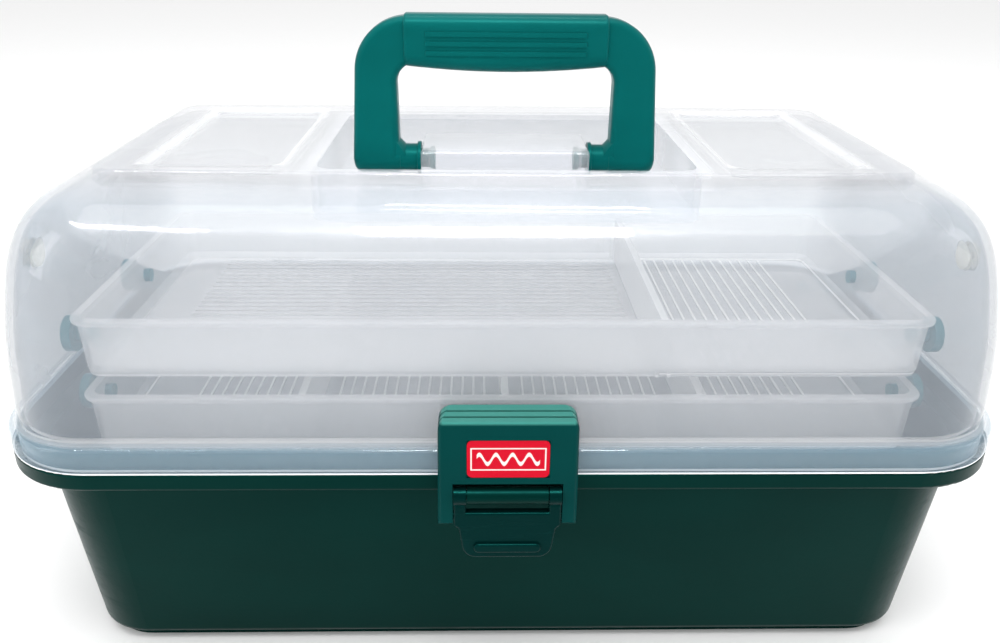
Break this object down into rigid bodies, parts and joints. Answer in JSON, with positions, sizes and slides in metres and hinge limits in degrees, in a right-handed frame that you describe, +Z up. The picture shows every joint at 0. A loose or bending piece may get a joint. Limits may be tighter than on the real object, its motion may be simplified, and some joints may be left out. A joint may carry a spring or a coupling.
{
  "type": "sewing box with trays",
  "caption": "Portable box with a deep base, a see-through hinged lid, a folding carry handle, a front toggle latch and stacked open trays that swing up and back on arms.",
  "frame": {"origin": "middle of the underside of the base", "axes": "+X to the right along the long side, +Y to the back where the hinges are, +Z up"},
  "size_m": [0.34, 0.2008, 0.2175],
  "materials": {
    "green": "semi-gloss moulded plastic",
    "clear": "clear frosted plastic",
    "frosted": "milky translucent plastic",
    "label": "printed label",
    "steel": "plain steel wire"
  },
  "bodies": {
    "base": {"base": "green", "hinge_pin_left": "steel", "hinge_pin_right": "steel"},
    "lid": {"lid": "clear"},
    "handle": {"handle": "green"},
    "latch_lever": {"latch_lever": "green", "latch_pin": "steel", "hook_pin_left": "steel", "hook_pin_right": "steel"},
    "latch_hook": {"latch_hook": "green", "latch_label": "label"},
    "tray_lower": {"tray_lower": "frosted", "divider_lower_left": "frosted", "divider_lower_middle": "frosted", "divider_lower_right": "frosted"},
    "tray_upper": {"tray_upper": "frosted", "divider_upper": "frosted"},
    "arm_long_left": {"arm_long_left": "green"},
    "arm_long_right": {"arm_long_right": "green"},
    "arm_short_front_left": {"arm_short_front_left": "green"},
    "arm_short_front_right": {"arm_short_front_right": "green"},
    "arm_short_rear_left": {"arm_short_rear_left": "green"},
    "arm_short_rear_right": {"arm_short_rear_right": "green"}
  },
  "joints": [
    {"name": "lid_hinge", "type": "hinge", "parent": "base", "child": "lid", "pos_m": [0, 0.097, 0.084], "axis": [-1, 0, 0], "range_deg": [0, 110]},
    {"name": "handle_pivot", "type": "hinge", "parent": "lid", "child": "handle", "pos_m": [0, -0.009, 0.1668], "axis": [1, 0, 0], "range_deg": [-70, 68]},
    {"name": "lever_pivot", "type": "hinge", "parent": "base", "child": "latch_lever", "pos_m": [0, -0.0959, 0.0782], "axis": [-1, 0, 0], "range_deg": [0, 115]},
    {"name": "hook_pivot", "type": "hinge", "parent": "latch_lever", "child": "latch_hook", "pos_m": [0, -0.0955, 0.0702], "axis": [-1, 0, 0], "range_deg": [-115, 0]},
    {"name": "arm_long_left_pivot", "type": "hinge", "parent": "base", "child": "arm_long_left", "pos_m": [0, 0.033, 0.073], "axis": [-1, 0, 0], "range_deg": [0, 85.3]},
    {"name": "arm_short_front_left_pivot", "type": "hinge", "parent": "base", "child": "arm_short_front_left", "pos_m": [0, -0.011, 0.073], "axis": [-1, 0, 0], "range_deg": [0, 85.3]},
    {"name": "arm_long_right_pivot", "type": "hinge", "parent": "base", "child": "arm_long_right", "pos_m": [0, 0.033, 0.073], "axis": [-1, 0, 0], "range_deg": [0, 85.3]},
    {"name": "arm_short_front_right_pivot", "type": "hinge", "parent": "base", "child": "arm_short_front_right", "pos_m": [0, -0.011, 0.073], "axis": [-1, 0, 0], "range_deg": [0, 85.3]},
    {"name": "tray_lower_pivot", "type": "hinge", "parent": "arm_long_left", "child": "tray_lower", "pos_m": [0, -0.016, 0.097], "axis": [-1, 0, 0], "range_deg": [-85.3, 0]},
    {"name": "tray_upper_pivot", "type": "hinge", "parent": "arm_long_left", "child": "tray_upper", "pos_m": [0, -0.065, 0.121], "axis": [-1, 0, 0], "range_deg": [-85.3, 0]},
    {"name": "arm_short_rear_left_pivot", "type": "hinge", "parent": "tray_lower", "child": "arm_short_rear_left", "pos_m": [0, 0.038, 0.097], "axis": [-1, 0, 0], "range_deg": [0, 85.3]},
    {"name": "arm_short_rear_right_pivot", "type": "hinge", "parent": "tray_lower", "child": "arm_short_rear_right", "pos_m": [0, 0.038, 0.097], "axis": [-1, 0, 0], "range_deg": [0, 85.3]}
  ],
  "couplings": [
    {"joint": "hook_pivot", "follows": "lever_pivot", "ratio": -1},
    {"joint": "arm_long_left_pivot", "follows": "lid_hinge", "ratio": 0.775},
    {"joint": "arm_short_front_left_pivot", "follows": "lid_hinge", "ratio": 0.775},
    {"joint": "arm_long_right_pivot", "follows": "lid_hinge", "ratio": 0.775},
    {"joint": "arm_short_front_right_pivot", "follows": "lid_hinge", "ratio": 0.775},
    {"joint": "tray_lower_pivot", "follows": "lid_hinge", "ratio": -0.775},
    {"joint": "tray_upper_pivot", "follows": "lid_hinge", "ratio": -0.775},
    {"joint": "arm_short_rear_left_pivot", "follows": "lid_hinge", "ratio": 0.775},
    {"joint": "arm_short_rear_right_pivot", "follows": "lid_hinge", "ratio": 0.775}
  ]
}
